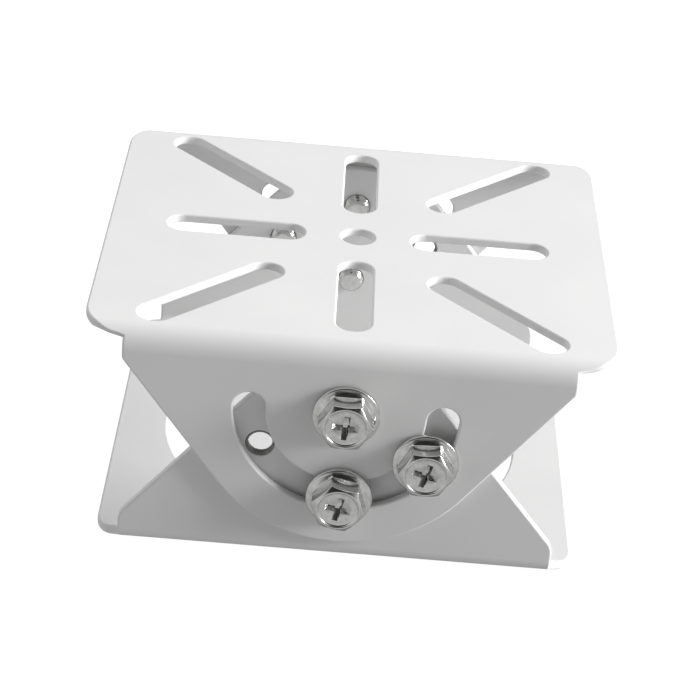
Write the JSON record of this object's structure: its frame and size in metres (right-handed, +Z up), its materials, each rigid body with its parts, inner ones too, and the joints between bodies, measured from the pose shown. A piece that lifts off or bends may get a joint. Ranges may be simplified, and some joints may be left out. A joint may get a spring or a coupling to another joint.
{
  "type": "pole mount adapter",
  "caption": "Tilting bracket of two folded steel plates, screwed together through a pivot and a curved slot, that sets a camera at an angle on a pole or wall.",
  "frame": {"origin": "under the middle of the lower plate, on the surface that it is mounted on", "axes": "+X along the plates, across the tilt axis; +Y along the tilt axis, towards the rear flange; +Z up out of the mounting surface"},
  "size_m": [0.11, 0.1112, 0.0532],
  "materials": {
    "white_powder_coat": "white powder coat, half matt",
    "bright_zinc": "bright zinc plated steel"
  },
  "bodies": {
    "base": {"lower_bracket": "white_powder_coat", "front_pivot_screw": "bright_zinc", "front_lower_screw": "bright_zinc", "front_side_screw": "bright_zinc", "rear_pivot_screw": "bright_zinc", "rear_lower_screw": "bright_zinc", "rear_side_screw": "bright_zinc"},
    "top": {"upper_bracket": "white_powder_coat"}
  },
  "joints": [
    {"name": "tilt", "type": "hinge", "parent": "base", "child": "top", "pos_m": [0, 0, 0.0378], "axis": [0, 1, 0], "range_deg": [-30, 30]}
  ]
}
